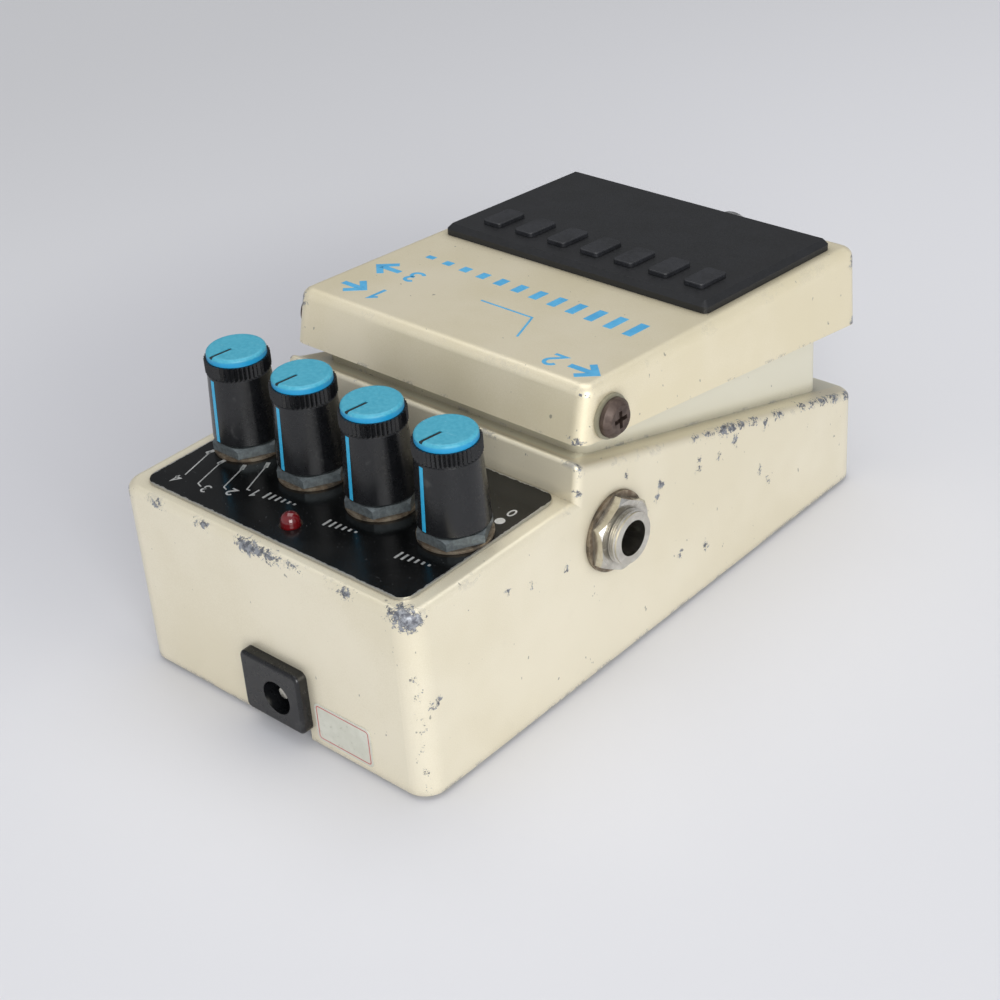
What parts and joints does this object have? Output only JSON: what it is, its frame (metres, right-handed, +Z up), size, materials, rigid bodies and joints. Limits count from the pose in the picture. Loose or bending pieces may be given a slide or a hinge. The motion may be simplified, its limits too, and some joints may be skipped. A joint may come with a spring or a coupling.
{
  "type": "guitar effect pedal",
  "caption": "Compact guitar delay pedal: stepped die-cast body, hinged foot treadle with rubber pad over a battery tub, row of tall knobs, side jacks and a power inlet.",
  "frame": {"origin": "centre of the casting's plan, on the floor under the rubber sole", "axes": "+Z up, +Y from the knobs towards the toe end of the treadle where the foot presses, +X towards the wall with the single output jack"},
  "size_m": [0.0786, 0.1362, 0.0568],
  "materials": {
    "cream_paint": "satin",
    "black_panel": "gloss",
    "bare_plate": "satin",
    "sole_rubber": "matte",
    "pad_rubber": "matte",
    "zinc_steel": "satin",
    "aged_steel": "satin",
    "nickel": "polished",
    "washer_steel": "satin",
    "nut_grey": "satin",
    "shaft_aluminium": "satin",
    "black_moulding": "satin",
    "jack_moulding": "matte",
    "blue_cap": "gloss",
    "red_lens": "gloss",
    "circuit_board": "satin",
    "chip_black": "matte",
    "capacitor_sleeve": "gloss",
    "insulating_card": "matte",
    "spring_steel": "satin",
    "battery_case": "satin",
    "foam_grey": "matte",
    "nylon_bush": "satin",
    "plunger_white": "satin",
    "presser_rubber": "matte"
  },
  "bodies": {
    "base_unit": {"chassis": "cream_paint", "control_panel": "black_panel", "bottom_plate": "bare_plate", "rubber_sole": "sole_rubber", "bottom_screws": "zinc_steel", "insulating_sheet": "insulating_card", "main_board": "circuit_board", "delay_chips": "chip_black", "board_capacitors": "capacitor_sleeve", "control_board": "circuit_board", "mode_switch": "zinc_steel", "delay_time_pot": "zinc_steel", "feedback_pot": "zinc_steel", "effect_level_pot": "zinc_steel", "pot_washers": "washer_steel", "pot_nuts": "nut_grey", "check_lamp": "red_lens", "output_jack": "jack_moulding", "input_jack": "jack_moulding", "stereo_jack": "jack_moulding", "jack_sleeves": "nickel", "jack_washers": "washer_steel", "jack_nuts": "nickel", "power_inlet": "black_moulding", "power_pin": "nickel", "hinge_screws": "aged_steel", "foot_switch": "jack_moulding", "return_spring": "spring_steel", "battery": "battery_case", "battery_snap": "jack_moulding"},
    "treadle_unit": {"treadle": "cream_paint", "treadle_pad": "pad_rubber", "hinge_bushes": "nylon_bush", "switch_presser": "presser_rubber", "battery_foam": "foam_grey", "thumbscrew_bush": "nylon_bush"},
    "clip_ring": {"thumbscrew_clip": "spring_steel"},
    "captive_screw": {"thumbscrew": "shaft_aluminium"},
    "plunger": {"switch_plunger": "plunger_white"},
    "mode_control": {"mode_shaft": "shaft_aluminium", "mode_knob": "black_moulding", "mode_cap": "blue_cap"},
    "delay_time_control": {"delay_time_shaft": "shaft_aluminium", "delay_time_knob": "black_moulding", "delay_time_cap": "blue_cap"},
    "feedback_control": {"feedback_shaft": "shaft_aluminium", "feedback_knob": "black_moulding", "feedback_cap": "blue_cap"},
    "effect_level_control": {"effect_level_shaft": "shaft_aluminium", "effect_level_knob": "black_moulding", "effect_level_cap": "blue_cap"}
  },
  "joints": [
    {"name": "treadle_hinge", "type": "hinge", "parent": "base_unit", "child": "treadle_unit", "pos_m": [0, -0.0127, 0.049], "axis": [1, 0, 0], "range_deg": [-2.2, 30], "stiffness_Nm_per_rad": 0.7, "springref_deg": 2.29, "deforming": ["return_spring"]},
    {"name": "thumbscrew_travel", "type": "slide", "parent": "treadle_unit", "child": "clip_ring", "axis": [0, 1, 0], "range_m": [-0.0028, 0]},
    {"name": "thumbscrew_turn", "type": "hinge", "parent": "clip_ring", "child": "captive_screw", "pos_m": [0, 0.0654, 0.0402], "axis": [0, 1, 0], "range_deg": [-1260, 0]},
    {"name": "plunger_travel", "type": "slide", "parent": "base_unit", "child": "plunger", "axis": [0, 0, 1], "range_m": [-0.0004, 0], "stiffness_N_per_m": 1500},
    {"name": "mode_turn", "type": "hinge", "parent": "base_unit", "child": "mode_control", "pos_m": [-0.02471, -0.0411, 0.0478], "axis": [0, 0, 1], "range_deg": [0, 90]},
    {"name": "delay_time_turn", "type": "hinge", "parent": "base_unit", "child": "delay_time_control", "pos_m": [-0.00823, -0.0411, 0.0478], "axis": [0, 0, 1], "range_deg": [-126.5, 173.5]},
    {"name": "feedback_turn", "type": "hinge", "parent": "base_unit", "child": "feedback_control", "pos_m": [0.00823, -0.0411, 0.0478], "axis": [0, 0, 1], "range_deg": [-126.5, 173.5]},
    {"name": "effect_level_turn", "type": "hinge", "parent": "base_unit", "child": "effect_level_control", "pos_m": [0.02471, -0.0411, 0.0478], "axis": [0, 0, 1], "range_deg": [-126.5, 173.5]}
  ],
  "couplings": [
    {"joint": "thumbscrew_turn", "follows": "thumbscrew_travel", "rad_per_m": 7854}
  ]
}
